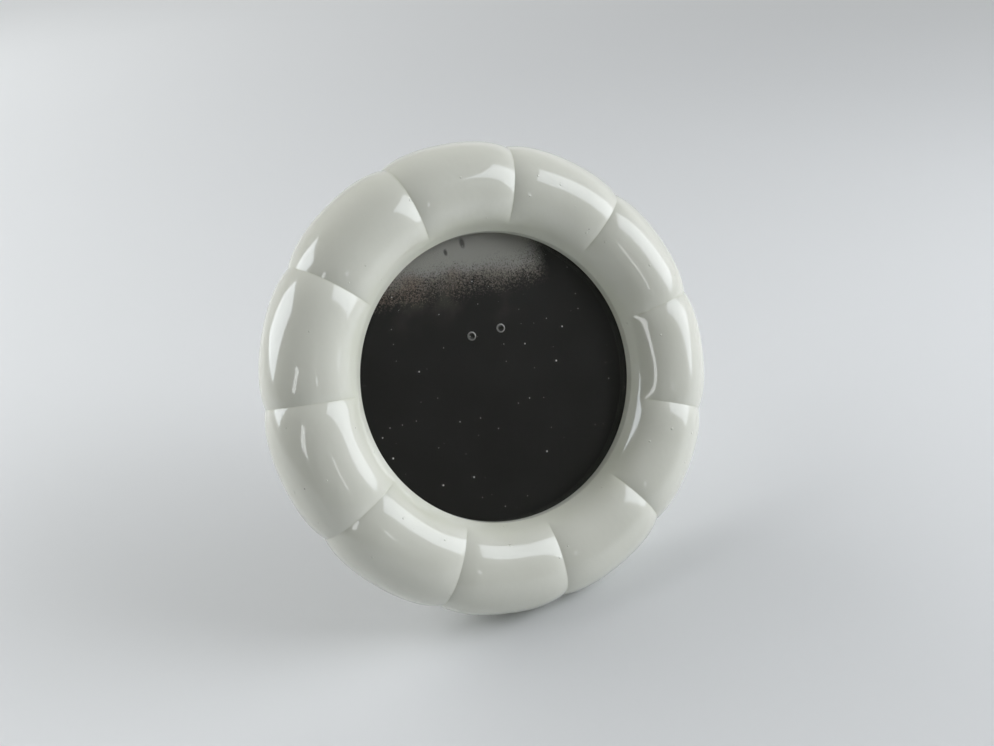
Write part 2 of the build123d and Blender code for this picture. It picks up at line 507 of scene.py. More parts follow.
@dataclass(frozen=True)
class SprayedPaper:
    """Black coat on the board's face that thins out in a speckled edge towards the top."""

    black: Colour = (0.0095, 0.0075, 0.0062)
    bare: Colour = (0.475, 0.447, 0.412)
    rusty: Colour = (0.320, 0.235, 0.190)
    worn: Colour = (0.270, 0.225, 0.195)
    haze: Colour = (0.085, 0.074, 0.062)
    fluff: Colour = (0.6, 0.58, 0.55)
    lint: Specks = Specks(7.0, 0.2, 0.2)
    edge_height: float = 41.9
    edge_slope: float = -0.07
    edge_reach: float = 10.0
    edge_drift: float = 9.0
    right_end: Point2 = (45.0, 20.0)
    stain_end: Point2 = (30.0, -35.0)
    grain: float = 1.9
    scuffs: tuple[tuple[float, float, float, float], ...] = (
        (-8.5, 56.6, 0.9, 1.6),
        (-0.2, 58.9, 1.3, 2.5),
    )

    def dress(self, place: Matrix) -> bpy.types.Material:
        """Makes the material.

        Args:
            place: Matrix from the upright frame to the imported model.

        Returns:
            The material.
        """
        paint = Paint("sprayed_black_paper")
        point, x, _, z = paint.local(place)
        grains = paint.clouds(point, self.grain, 2.0, 0.65)
        drift = (paint.clouds(point, 0.06, 2.0) - 0.5) * self.edge_drift
        height = (z - self.edge_height - x * self.edge_slope + drift) / self.edge_reach
        right_end = x.rise(*self.right_end)
        thin = (height * 0.62 + 0.5 + (grains - 0.5) * 2.4).rise(0.15, 1.0) * height.rise(-1.4, -0.2)
        thin = thin * (right_end + (grains - 0.5) * right_end).rise(0.2, 0.85)
        scuffs: Number = 0.0
        for across, up, wide, tall in self.scuffs:
            away = ((x - across) / wide).length_with((z - up) / tall)
            scuffs = away.rise(1.25, 0.4) + scuffs
        stain = paint.clouds(point, 0.11, 3.0).rise(0.3, 0.65)
        stain = stain * height.rise(1.1, 0.1) * x.rise(*self.stain_end)
        coat = paint.mix(stain, paint.mix(height.rise(0.9, -0.1), self.bare, self.worn), self.rusty)
        mottle = paint.clouds(point, 0.05, 3.0)
        fog = height.rise(-2.4, -0.3) * right_end * mottle.rise(0.4, 0.7)
        ground = paint.mix(fog * 0.85, self.black, self.haze)
        colour = paint.mix(thin * (1 - scuffs * 0.75), ground, coat)
        lint = paint.specks(x, z, self.lint)
        return paint.finish(
            Base_Color=paint.mix(lint * 0.18, colour, self.fluff),
            Roughness=0.62 + 0.25 * mottle,
            Specular_IOR_Level=0.35,
            Normal=paint.bump(grains, 0.05, 0.6),
        )


@dataclass(frozen=True)
class CoverPaper:
    """Black covering paper with a pressed leather grain, rubbed paler in patches."""

    black: Colour = (0.016, 0.0155, 0.015)
    rubbed: Colour = (0.075, 0.071, 0.066)
    fluff: Colour = (0.55, 0.53, 0.50)
    lint: Specks = Specks(8.0, 0.2, 0.25)
    grain: float = 0.75

    def dress(self, name: str, place: Matrix) -> bpy.types.Material:
        """Makes the material.

        Args:
            name: The material's name.
            place: Matrix from the covered piece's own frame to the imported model.

        Returns:
            The material.
        """
        paint = Paint(name)
        point, x, _, z = paint.local(place)
        cells = paint.node(
            "ShaderNodeTexVoronoi",
            {"feature": "SMOOTH_F1"},
            {"Vector": point, "Scale": self.grain, "Smoothness": 0.35},
        )
        fibres = paint.clouds(paint.stretch(point, (1.0, 1.0, 0.22)), 3.2, 3.0)
        wear = paint.clouds(point, 0.07, 4.0, 0.62).rise(0.54, 0.76)
        rub = wear * 0.5 + cells.rise(0.25, 0.62) * wear * 0.6 + fibres.rise(0.62, 0.9) * 0.25
        lint = paint.specks(x, z, self.lint)
        colour = paint.mix(rub.rise(0.0, 1.0) * 0.30, self.black, self.rubbed)
        relief = 0.8 - cells * 0.7 + fibres * 0.2
        return paint.finish(
            Base_Color=paint.mix(lint * 0.3, colour, self.fluff),
            Roughness=0.56 + 0.22 * fibres - wear * 0.08,
            Specular_IOR_Level=0.4,
            Normal=paint.bump(relief, 0.10, 0.7),
        )


@dataclass(frozen=True)
class PressedBoard:
    """Raw edge of pressed grey board, laid in thin sheets of fibre."""

    pale: Colour = (0.330, 0.290, 0.235)
    dark: Colour = (0.160, 0.135, 0.105)
    sheets: float = 2.6

    def dress(self, name: str, place: Matrix) -> bpy.types.Material:
        """Makes the material.

        Args:
            name: The material's name.
            place: Matrix from the board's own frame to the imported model, with Y through its sheets.

        Returns:
            The material.
        """
        paint = Paint(name)
        point, *_ = paint.local(place)
        layers = paint.clouds(paint.stretch(point, (0.16, 1.0, 0.16)), self.sheets, 4.0, 0.6)
        fibres = paint.clouds(point, 2.4, 4.0, 0.7)
        share = (layers * 0.7 + fibres * 0.45 - 0.1).rise(0.15, 0.85)
        return paint.finish(
            Base_Color=paint.mix(share, self.dark, self.pale),
            Roughness=0.86 + 0.1 * fibres,
            Specular_IOR_Level=0.25,
            Normal=paint.bump(layers * 0.6 + fibres * 0.4, 0.12),
        )


@dataclass(frozen=True)
class Plating:
    """Plated metal with fine rolling lines, dull patches and handling marks.

    Attributes:
        name: The material's name.
        bright: Colour of the clean metal.
        dull: Colour of the tarnished metal.
        polish: Roughness of the clean metal.
        lines: Stretch of the rolling lines along each axis.
        bore_shade: Colour of the shade painted inside a bore.
        marks: The handling marks.
    """

    name: str
    bright: Colour
    dull: Colour
    polish: float
    lines: Triple = (0.12, 1.0, 1.0)
    bore_shade: Colour = (0.030, 0.028, 0.026)
    marks: Specks = Specks(3.2, 0.22, 0.35)

    def dress(self, place: Matrix, hole: Triple | None = None) -> bpy.types.Material:
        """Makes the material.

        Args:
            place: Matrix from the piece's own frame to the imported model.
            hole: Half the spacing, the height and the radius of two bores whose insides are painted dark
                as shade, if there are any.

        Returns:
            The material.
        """
        paint = Paint(self.name)
        point, x, _, z = paint.local(place)
        rolled = paint.clouds(paint.stretch(point, self.lines), 5.5, 3.0, 0.6)
        patches = paint.clouds(point, 0.22, 4.0, 0.62).rise(0.42, 0.74)
        marks = paint.specks(x, z, self.marks)
        share = (patches * 0.55 + marks * 0.35 + (rolled - 0.5) * 0.4).rise(0.0, 1.0)
        colour = paint.mix(share, self.bright, self.dull)
        rough = self.polish + 0.22 * patches + (rolled - 0.5) * 0.12
        if hole is not None:
            across, up, radius = hole
            # painted shade: the inside of each bore and its mouth are painted dark, as the shade in the
            # hole
            inside = (abs(x) - across).length_with(z - up).rise(radius + 0.75, radius + 0.25)
            colour = paint.mix(inside * 0.95, colour, self.bore_shade)
            rough = rough + inside * 0.4
        return paint.finish(
            Base_Color=colour, Metallic=1.0, Roughness=rough, Normal=paint.bump(rolled, 0.012, 0.6)
        )


@dataclass(frozen=True)
class Nylon:
    """Natural nylon with faint moulding marks."""

    pale: Colour = (0.700, 0.680, 0.610)
    stained: Colour = (0.560, 0.520, 0.430)

    def dress(self, place: Matrix) -> bpy.types.Material:
        """Makes the material.

        Args:
            place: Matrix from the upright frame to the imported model.

        Returns:
            The material.
        """
        paint = Paint("natural_nylon")
        point, *_ = paint.local(place)
        marks = paint.clouds(point, 0.8, 3.0)
        return paint.finish(
            Base_Color=paint.mix(marks.rise(0.35, 0.8), self.pale, self.stained),
            Roughness=0.42 + 0.2 * marks,
            Normal=paint.bump(marks, 0.03),
        )


class Bench:
    """Modelling steps that the pieces share, done with Blender's own operators."""

    @staticmethod
    def pick(*pieces: bpy.types.Object) -> None:
        """Selects these objects alone and makes the first one active."""
        bpy.ops.object.select_all(action="DESELECT")
        for piece in pieces:
            piece.select_set(True)
        bpy.context.view_layer.objects.active = pieces[0]

    @staticmethod
    def named(name: str) -> bpy.types.Object:
        """Names the primitive that was just added and returns it."""
        piece = bpy.context.active_object
        piece.name = name
        piece.data.name = name
        return piece

    @classmethod
    def modified(cls, piece: bpy.types.Object, kind: str, **settings: Any) -> None:
        """Applies one modifier to a piece.

        Args:
            piece: The piece.
            kind: The modifier's type.
            **settings: The modifier's own properties.
        """
        cls.pick(piece)
        modifier = piece.modifiers.new(kind.lower(), kind)
        for name, value in settings.items():
            setattr(modifier, name, value)
        bpy.ops.object.modifier_apply(modifier=modifier.name)

    @classmethod
    def smoothed(cls, piece: bpy.types.Object, angle: float = 35.0) -> None:
        """Smooths a piece over all edges whose faces meet at less than this angle."""
        cls.pick(piece)
        bpy.ops.object.shade_smooth_by_angle(angle=math.radians(angle))

    @classmethod
    def evened(cls, piece: bpy.types.Object) -> None:
        """Smooths a piece with rounded edges so that its shading follows its large flat faces."""
        cls.smoothed(piece)
        cls.modified(piece, "WEIGHTED_NORMAL", keep_sharp=True)

    @classmethod
    def spun(cls, name: str, outline: Sequence[Point2], columns: int) -> bpy.types.Object:
        """Spins a closed outline round the Y axis.

        Args:
            name: Name of the piece.
            outline: Radius and depth of each point.
            columns: Number of steps round the axis.

        Returns:
            The spun piece, with its axis on Y.
        """
        bpy.ops.mesh.primitive_circle_add(vertices=len(outline), radius=MM)
        piece = cls.named(name)
        for vertex, (radius, depth) in zip(piece.data.vertices, outline):
            vertex.co = (radius * MM, depth * MM, 0.0)
        bpy.ops.object.mode_set(mode="EDIT")
        bpy.ops.mesh.select_all(action="SELECT")
        bpy.ops.mesh.spin(steps=columns, angle=math.tau, center=(0, 0, 0), axis=(0, 1, 0))
        bpy.ops.mesh.select_all(action="SELECT")
        bpy.ops.mesh.remove_doubles(threshold=WELD)
        bpy.ops.mesh.normals_make_consistent(inside=False)
        bpy.ops.object.mode_set(mode="OBJECT")
        return piece

    @classmethod
    def softened(cls, node: str, name: str, edge: float, segments: int) -> bpy.types.Object:
        """Copies a CAD node, rounds its edges and smooths it.

        Args:
            node: The CAD node to copy.
            name: Name of the copy.
            edge: Width of the rounding.
            segments: Number of steps across the rounding.

        Returns:
            The rounded copy, in its place.
        """
        piece = bpy.data.objects.new(name, bpy.data.objects[node].data.copy())
        piece.data.name = name
        bpy.context.scene.collection.objects.link(piece)
        cls.pick(piece)
        bpy.ops.object.mode_set(mode="EDIT")
        bpy.ops.mesh.select_all(action="SELECT")
        bpy.ops.mesh.customdata_custom_splitnormals_clear()
        bpy.ops.mesh.remove_doubles(threshold=WELD)
        bpy.ops.mesh.dissolve_limited(angle_limit=math.radians(0.5))
        bpy.ops.object.mode_set(mode="OBJECT")
        cls.modified(
            piece,
            "BEVEL",
            width=edge * MM,
            segments=segments,
            limit_method="ANGLE",
            angle_limit=math.radians(40),
        )
        cls.evened(piece)
        return piece

    @classmethod
    def placed(cls, piece: bpy.types.Object, places: Sequence[Matrix]) -> None:
        """Sets a copy of a piece at every place and joins them, as separate solids of one object.

        Args:
            piece: The piece, modelled at the origin and used for the first place.
            places: Matrices to each place.
        """
        copies = [piece]
        for _ in places[1:]:
            twin = piece.copy()
            twin.data = piece.data.copy()
            bpy.context.scene.collection.objects.link(twin)
            copies.append(twin)
        for twin, place in zip(copies, places):
            twin.matrix_world = place
        cls.pick(*copies)
        bpy.ops.object.transform_apply(location=True, rotation=True, scale=True)
        if len(copies) > 1:
            bpy.ops.object.join()

    @staticmethod
    def faces_towards(piece: bpy.types.Object, direction: Vector) -> None:
        """Selects, in edit mode, only the faces of a piece that look along a direction."""
        bpy.ops.mesh.select_all(action="DESELECT")
        bpy.ops.object.mode_set(mode="OBJECT")
        for face in piece.data.polygons:
            face.select = face.normal.dot(direction) > 0.99
        bpy.ops.object.mode_set(mode="EDIT")

    @staticmethod
    def show(
        piece: bpy.types.Object, finish: bpy.types.Material, body: str, slot: str, *nodes: str
    ) -> None:
        """Gives a piece its finish, its body and the CAD nodes that it stands for.

        Args:
            piece: The finished piece.
            finish: Its material.
            body: The body that it moves with.
            slot: The record's material slot; not used.
            *nodes: The CAD nodes that it replaces.
        """
        piece.data.materials.clear()
        piece.data.materials.append(finish)
        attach(piece, body)
        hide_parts(*nodes)
        faces = len(piece.data.polygons)
        LOG.info("%s rides on %s for %s, %d faces", piece.name, body, ", ".join(nodes), faces)

    @staticmethod
    def redress(node: str, finish: bpy.types.Material) -> None:
        """Gives a CAD node that stays in view a new finish."""
        materials = bpy.data.objects[node].data.materials
        materials.clear()
        materials.append(finish)
        LOG.info("%s keeps its shape", node)


def arc(centre: Point2, radii: Point2, start: float, end: float, steps: int) -> list[Point2]:
    """Lists points on part of an ellipse.

    Args:
        centre: Its centre.
        radii: Its radii along both axes.
        start: Angle of the first point.
        end: Angle of the last point.
        steps: Number of steps between them.

    Returns:
        The points, both ends included.
    """
    angles = [math.radians(start + (end - start) * index / steps) for index in range(steps + 1)]
    return [(centre[0] + radii[0] * math.cos(a), centre[1] + radii[1] * math.sin(a)) for a in angles]


@dataclass
class CeramicRing:
    """The glazed ring of swelling lobes, with the stepped recess behind it."""

    stance: Stance
    outer_radius: float = 99.98
    opening_radius: float = 61.4
    crest_radius: float = 81.6
    front_height: float = 16.5
    rim_depth: float = 14.0
    rim_width: float = 5.5
    rim_edge_round: float = 1.0
    back_rounding: float = 18.0
    flank_turn: float = 65.0
    lip_thickness: float = 3.6
    lip_round: float = 1.2
    lobe_count: int = 11
    groove_at_crest: float = 1.85
    groove_at_outside: float = 1.85
    groove_fade: Point2 = (6.6, 12.5)
    lobe_flatness: float = 4.2
    columns_per_lobe: int = 32
    crowding: float = 1.7
    ledge_depth: float = 7.1
    ledge_corner: float = 1.2
    ledge_edge: float = 0.5
    board_seat: Point2 = (68.0, 4.0)
    glass_seat: Point2 = (65.0, 0.0)
    unevenness: float = 0.06
    unevenness_reach: float = 19.0
    unevenness_start: float = 4.0
    smooth_angle: float = 45.0
    finish: Glaze = field(default_factory=Glaze)

    @property
    def back_turn(self) -> float:
        """Angle that the rounded back turns through before it meets the rim."""
        return math.degrees(math.asin(self.rim_depth / self.back_rounding))

    @property
    def rim_outside(self) -> float:
        """Outer radius of the foot rim behind the middle of a lobe."""
        drop = self.back_rounding * (1 - math.cos(math.radians(self.back_turn)))
        return self.outer_radius - drop

    @property
    def rim_inside(self) -> float:
        """Radius of the recess inside the foot rim."""
        return self.rim_outside - self.groove_at_outside - self.rim_width

    def collar(self, foot: Point2) -> list[Point2]:
        """Lists the rounded lip and the sloping collar, from the glass to the foot of the flank.

        Args:
            foot: Where the flank begins.

        Returns:
            The points, without the foot.
        """
        opening, lip, turn = self.opening_radius, self.lip_thickness, self.lip_round
        lean = math.atan2(foot[0] - opening, -foot[1] - lip)
        middle = (opening + turn, turn * math.tan(lean / 2) - lip)
        edge = arc(middle, (turn, turn), 180, 180 + math.degrees(lean), 5)
        start = Vector(edge[-1])
        slope = [tuple(start.lerp(Vector(foot), share / 5)) for share in range(1, 5)]
        return [*edge, *slope]

    def outline(self) -> list[Point2]:
        """Returns the section through the middle of a lobe, from the lip outwards."""
        seat_radius, seat_depth = self.board_seat
        pane_radius, pane_depth = self.glass_seat
        turn, corner, edge = self.rim_edge_round, self.ledge_corner, self.ledge_edge
        inside, rim, ledge = self.rim_inside, self.rim_depth, self.ledge_depth
        crest = (self.crest_radius, 0.0)
        reach = (self.crest_radius - self.opening_radius, self.front_height)
        flank = arc(crest, reach, 270 - self.flank_turn, 270, 36)
        shoulder = arc(crest, (self.outer_radius - self.crest_radius, self.front_height), 270, 360, 34)
        middle = (self.outer_radius - self.back_rounding, 0.0)
        back = arc(middle, (self.back_rounding, self.back_rounding), 0, self.back_turn, 14)
        rim_edge = arc((inside + turn, rim - turn), (turn, turn), 90, 180, 5)
        inner_corner = arc((inside - corner, ledge + corner), (corner, corner), 0, -90, 5)
        ledge_edge = arc((seat_radius + edge, ledge - edge), (edge, edge), 90, 180, 4)
        steps = [(seat_radius, seat_depth), (pane_radius, seat_depth), (pane_radius, pane_depth)]
        lip = [(self.opening_radius, pane_depth), *self.collar(flank[0])]
        return [*lip, *flank, *shoulder[1:], *back[1:], *rim_edge, *inner_corner, *ledge_edge, *steps]

    def groove_shift(self, radius: float, depth: float) -> Point2:
        """Works out how far a groove at full depth moves a point of the section.

        On the inner flank a groove fades out between the two heights of groove_fade, above the collar.

        Args:
            radius: The point's radius.
            depth: The point's depth behind the glass's face.

        Returns:
            The change of radius and of depth.
        """
        if depth <= 0:
            share = max(0.0, (radius - self.crest_radius) / (self.outer_radius - self.crest_radius))
            sunk = self.groove_at_crest * -depth / self.front_height
            if radius < self.crest_radius:
                foot, full = self.groove_fade
                rise = max(0.0, min(1.0, (-depth - foot) / (full - foot)))
                sunk *= rise * rise * (3 - 2 * rise)
            return -self.groove_at_outside * share, sunk
        share = (radius - self.rim_inside) / (self.rim_outside - self.rim_inside)
        on_back = radius > self.rim_inside + self.rim_edge_round / 2
        return (-self.groove_at_outside * min(1.0, share), 0.0) if on_back else (0.0, 0.0)

    def swell(self, piece: bpy.types.Object) -> None:
        """Moves the spun ring's points so that lobes swell between grooves.

        Args:
            piece: The plain spun ring.
        """
        step = math.tau / self.lobe_count
        for vertex in piece.data.vertices:
            x, y, z = vertex.co / MM
            radius, angle = math.hypot(x, z), math.atan2(x, z)
            lobe = round(angle / step)
            place = max(-1.0, min(1.0, (angle - lobe * step) / (step / 2)))
            place = math.copysign(1 - (1 - abs(place)) ** self.crowding, place)
            angle = lobe * step + place * step / 2
            sine, cosine = math.sin(angle), math.cos(angle)
            share = abs(place) ** self.lobe_flatness
            out, back = self.groove_shift(radius, y)
            reach = radius + out * share
            spot = Vector((reach * sine, y + back * share, reach * cosine))
            if y < 0:
                wave = (noise.noise(spot / self.unevenness_reach) - 1) * self.unevenness
                core = Vector((self.crest_radius * sine, 0.0, self.crest_radius * cosine))
                spot += (spot - core).normalized() * wave * min(1.0, -y / self.unevenness_start)
            vertex.co = spot * MM

    def build(self) -> None:
        """Models the ring, sets it in place and glazes it."""
        piece = Bench.spun("glazed_ring", self.outline(), self.lobe_count * self.columns_per_lobe)
        self.swell(piece)
        place = self.stance.place
        Bench.placed(piece, [place])
        Bench.smoothed(piece, self.smooth_angle)
        glaze = self.finish.dress(
            place, self.lobe_count, self.crest_radius, self.rim_depth, self.rim_inside
        )
        Bench.show(piece, glaze, "frame", "ivory_glaze", "ceramic_ring")


@dataclass
class GlassPane:
    """The clear disc behind the opening."""

    stance: Stance
    radius: float = 64.6
    front: float = 0.0
    thickness: float = 2.0
    bevel: float = 0.3
    facets: int = 192
    smooth_angle: float = 20.0
    finish: ClearGlass = field(default_factory=ClearGlass)

    def build(self) -> None:
        """Models the disc with its ground edges."""
        bpy.ops.mesh.primitive_cylinder_add(
            vertices=self.facets, radius=self.radius * MM, depth=self.thickness * MM
        )
        piece = Bench.named("glass_pane")
        bpy.ops.object.mode_set(mode="EDIT")
        bpy.ops.mesh.select_mode(type="EDGE")
        bpy.ops.mesh.select_all(action="DESELECT")
        bpy.ops.mesh.edges_select_sharp(sharpness=math.radians(60))
        bpy.ops.mesh.bevel(offset=self.bevel * MM, segments=2, affect="EDGES")
        bpy.ops.mesh.select_mode(type="VERT")
        bpy.ops.object.mode_set(mode="OBJECT")
        place = self.stance.place
        depth = Vector((0.0, self.front + self.thickness / 2, 0.0)) * MM
        Bench.placed(piece, [place @ Matrix.Translation(depth) @ REARWARDS])
        Bench.smoothed(piece, self.smooth_angle)
        Bench.show(piece, self.finish.dress(place, self.front), "frame", "clear_glass", "glass_disc")


@dataclass
class CoveredBoard:
    """A board core between two papers: the backing board or the leg.

    Attributes:
        name: First word of its CAD nodes' names.
        place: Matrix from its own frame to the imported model.
        face: Finish of the front paper, or None if it is the same as the rear paper.
        cover: Finish of the rear paper.
        core: Finish of the core's raw edge.
    """

    name: str
    place: Matrix
    face: SprayedPaper | None = None
    cover: CoverPaper = field(default_factory=CoverPaper)
    core: PressedBoard = field(default_factory=PressedBoard)

    def build(self) -> None:
        """Dresses the three layers, whose shape is already right."""
        cover = self.cover.dress(f"{self.name}_cover", self.place)
        finishes = {
            Layer.FRONT: self.face.dress(self.place) if self.face else cover,
            Layer.CORE: self.core.dress(f"{self.name}_edge", self.place),
            Layer.REAR: cover,
        }
        for layer, finish in finishes.items():
            Bench.redress(f"{self.name}_{layer.value}", finish)


@dataclass
class Eyelets:
    """Hollow rivets with a curled end in front and a flat head behind."""

    bore: float = 0.85
    tube: float = 1.4
    curl: float = 1.95
    curl_height: float = 0.45
    head: float = 2.4
    head_height: float = 0.5
    head_round: float = 0.2
    spacing: float = 13.8
    columns: int = 48
    smooth_angle: float = 40.0
    finish: Plating = Plating(
        "nickel_eyelet", (0.37, 0.36, 0.34), (0.18, 0.17, 0.16), 0.34, (1.0, 0.3, 1.0)
    )

    def outline(self, front: float, back: float) -> list[Point2]:
        """Returns the section of an eyelet that grips from front to back."""
        middle = ((self.bore + self.curl) / 2, front)
        curl = arc(middle, ((self.curl - self.bore) / 2, self.curl_height), 180, 360, 12)
        end, turn = back + self.head_height, self.head_round
        rim = arc((self.head - turn, back + turn), (turn, turn), -60, 60, 4)
        mouth = arc((self.bore + turn, end - turn), (turn, turn), 90, 180, 4)
        return [*curl, (self.tube, front), (self.tube, back), *rim, (self.head - turn, end), *mouth]

    def build(self, name: str, place: Matrix, grip: Point2, height: float, body: str, node: str) -> None:
        """Models the two eyelets of a hinge leaf.

        Args:
            name: Name of the piece.
            place: Matrix from the gripped piece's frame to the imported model.
            grip: Depths of the front and back of what they grip.
            height: Their height in that frame.
            body: The body that they move with.
            node: The CAD node that they replace.
        """
        piece = Bench.spun(name, self.outline(*grip), self.columns)
        spots = [Vector((side.value * self.spacing / 2, 0.0, height)) for side in Side]
        Bench.placed(piece, [place @ Matrix.Translation(spot * MM) for spot in spots])
        Bench.smoothed(piece, self.smooth_angle)
        # the bores' insides are painted dark as shade
        hole = (self.spacing / 2, height, self.bore)
        Bench.show(piece, self.finish.dress(place, hole), body, "rivet_steel", node)


@dataclass
class EaselHinge:
    """The two leaves of the easel hinge, their pin and their eyelets."""

    stance: Stance
    edge: float = 0.16
    pin_edge: float = 0.35
    board_grip: Point2 = (4.0, 7.8)
    leg_grip: Point2 = (-1.7, 2.1)
    board_eyelet_height: float = 19.8
    leg_eyelet_drop: float = 10.5
    eyelets: Eyelets = field(default_factory=Eyelets)
    leaf: Plating = Plating("zinc_leaf", (0.60, 0.60, 0.58), (0.34, 0.33, 0.31), 0.30)
    pin: Plating = Plating("zinc_pin", (0.64, 0.64, 0.62), (0.38, 0.37, 0.35), 0.22, (1.0, 0.4, 0.4))

    def build(self) -> None:
        """Rounds the stamped leaves and the pin, and rivets the leaves on."""
        place, leg_place = self.stance.place, self.stance.leg_place
        for name, own_place, body in (("board_leaf", place, "frame"), ("leg_leaf", leg_place, "leg")):
            leaf = Bench.softened("hinge_" + name, name, self.edge, 2)
            Bench.show(leaf, self.leaf.dress(own_place), body, "hinge_steel", "hinge_" + name)
        pin = Bench.softened("hinge_pin", "peened_pin", self.pin_edge, 4)
        Bench.show(pin, self.pin.dress(place), "frame", "hinge_steel", "hinge_pin")
        height, drop = self.board_eyelet_height, -self.leg_eyelet_drop
        self.eyelets.build("board_eyelets", place, self.board_grip, height, "frame", "board_rivets")
        self.eyelets.build("leg_eyelets", leg_place, self.leg_grip, drop, "leg", "leg_rivets")


@dataclass
class TurnButtons:
    """The four turn buttons that hold the board, with their screws, washers and plugs."""

    stance: Stance
    button_edge: float = 0.28
    washer_front: float = 8.4
    washer_thickness: float = 0.6
    washer_radius: float = 3.6
    washer_round: float = 0.15
    bore_radius: float = 1.55
    shank_radius: float = 1.5
    shank_end: float = -1.4
    head_radius: float = 3.1
    head_height: float = 1.8
    head_round: float = 0.95
    slot_width: float = 0.9
    slot_depth: float = 0.9
    slot_turns: tuple[float, ...] = (18.0, 104.0, 67.0, 141.0)
    facets: int = 64
    brass: Plating = Plating(
        "button_brass", (0.74, 0.57, 0.29), (0.44, 0.32, 0.17), 0.27, (1.0, 1.0, 0.12)
    )
    steel: Plating = Plating(
        "screw_zinc", (0.63, 0.62, 0.59), (0.38, 0.36, 0.33), 0.24, (0.5, 1.0, 0.5)
    )
    nylon: Nylon = field(default_factory=Nylon)

    @property
    def head_front(self) -> float:
        """Depth of the underside of a screw's head."""
        return self.washer_front + self.washer_thickness

    def screw(self) -> bpy.types.Object:
        """Returns one slotted screw along Z, with the underside of its head at the origin."""
        middle = (0.0, 0.0, self.head_height / 2 * MM)
        bpy.ops.mesh.primitive_cylinder_add(
            vertices=self.facets,
            radius=self.head_radius * MM,
            depth=self.head_height * MM,
            location=middle,
        )
        piece = Bench.named("pivot_screws")
        bpy.ops.object.transform_apply(location=True)
        bpy.ops.object.mode_set(mode="EDIT")
        Bench.faces_towards(piece, Vector((0, 0, -1)))
        bpy.ops.mesh.inset(thickness=(self.head_radius - self.shank_radius) * MM)
        shank = Vector((0.0, 0.0, self.shank_end - self.head_front)) * MM
        bpy.ops.mesh.extrude_region_move(TRANSFORM_OT_translate={"value": shank})
        Bench.faces_towards(piece, Vector((0, 0, 1)))
        bpy.ops.mesh.bevel(offset=self.head_round * MM, segments=6, affect="EDGES")
        bpy.ops.object.mode_set(mode="OBJECT")
        self.cut_slot(piece)
        return piece

    def cut_slot(self, piece: bpy.types.Object) -> None:
        """Cuts the driver's slot across a screw's head.

        Args:
            piece: The screw.
        """
        bpy.ops.mesh.primitive_cube_add(size=MM, location=(0.0, 0.0, self.head_height * MM))
        cutter = Bench.named("slot_cutter")
        cutter.scale = (3 * self.head_radius, self.slot_width, 2 * self.slot_depth)
        Bench.modified(piece, "BOOLEAN", operation="DIFFERENCE", object=cutter)
        bpy.data.objects.remove(cutter)

    def washer_outline(self) -> list[Point2]:
        """Returns the section of a washer, with its rims rounded."""
        turn, front = self.washer_round, self.washer_front
        back = front + self.washer_thickness
        outside, inside = self.washer_radius - turn, self.bore_radius + turn
        return [
            *arc((outside, front + turn), (turn, turn), -90, 0, 3),
            *arc((outside, back - turn), (turn, turn), 0, 90, 3),
            *arc((inside, back - turn), (turn, turn), 90, 180, 3),
            *arc((inside, front + turn), (turn, turn), 180, 270, 3),
        ]

    def build(self) -> None:
        """Models the buttons, screws and washers and dresses the plugs."""
        place = self.stance.place
        pivots = [Vector((spot.x, 0.0, spot.z)) * MM for spot in self.stance.pivots]
        washers = Bench.spun("pivot_washers", self.washer_outline(), self.facets)
        Bench.placed(washers, [place @ Matrix.Translation(spot) for spot in pivots])
        screws = self.screw()
        heads = [spot + Vector((0.0, self.head_front * MM, 0.0)) for spot in pivots]
        turned = [
            place @ Matrix.Translation(spot) @ REARWARDS @ Matrix.Rotation(math.radians(turn), 4, "Z")
            for spot, turn in zip(heads, self.slot_turns)
        ]
        Bench.placed(screws, turned)
        zinc = self.steel.dress(place)
        for piece, node in ((washers, "button_washers"), (screws, "button_screws")):
            Bench.evened(piece)
            Bench.show(piece, zinc, "frame", "screw_steel", node)
        brass = self.brass.dress(place)
        for number in range(1, len(pivots) + 1):
            node = f"turn_button_{number}"
            button = Bench.softened(node, f"brass_button_{number}", self.button_edge, 3)
            Bench.show(button, brass, f"button_{number}", "button_brass", node)
        Bench.redress("screw_plugs", self.nylon.dress(place))


def towards(azimuth: float, elevation: float) -> Vector:
    """Works out a direction from the frame.

    Args:
        azimuth: Its angle from the front towards +X.
        elevation: Its height above the horizon.

    Returns:
        The direction, of length 1.
    """
    turn, up = math.radians(azimuth), math.radians(elevation)
    return Vector((math.sin(turn) * math.cos(up), -math.cos(turn) * math.cos(up), math.sin(up)))


@dataclass
class Lamp:
    """A flat studio light.

    Attributes:
        name: Name of the light.
        beam: What it does.
        azimuth: Direction to it from the frame, from the front towards +X.
        elevation: Its height above the horizon.
        distance: Distance of its middle, in metres.
        size: Its width and height, in metres.
        radiance: How bright it looks.
        roll: How far it is turned in its own plane.
        tint: Colour of the light.
    """

    name: str
    beam: Beam
    azimuth: float
    elevation: float
    distance: float
    size: Point2
    radiance: float
    roll: float = 0.0
    tint: Tint = Tint.PLAIN

    def build(self, centre: Vector) -> None:
        """Sets the lamp up so that it looks at the centre.

        Args:
            centre: Where it looks, in metres.
        """
        out = towards(self.azimuth, self.elevation)
        facing = out.to_track_quat("Z", "Y").to_matrix().to_4x4()
        lamp = bpy.data.lights.new(self.name, "AREA")
        lamp.shape = "RECTANGLE"
        lamp.size, lamp.size_y = self.size
        lamp.energy = self.radiance * math.pi * self.size[0] * self.size[1]
        lamp.color = self.tint.value
        light = bpy.data.objects.new(self.name, lamp)
        turned = facing @ Matrix.Rotation(math.radians(self.roll), 4, "Z")
        light.matrix_world = Matrix.Translation(centre + out * self.distance) @ turned
        light.visible_camera = False
        light.visible_glossy, light.visible_diffuse = self.beam.value
        bpy.context.scene.collection.objects.link(light)
        LOG.info("%s shines from %.0f degrees", self.name, self.azimuth)


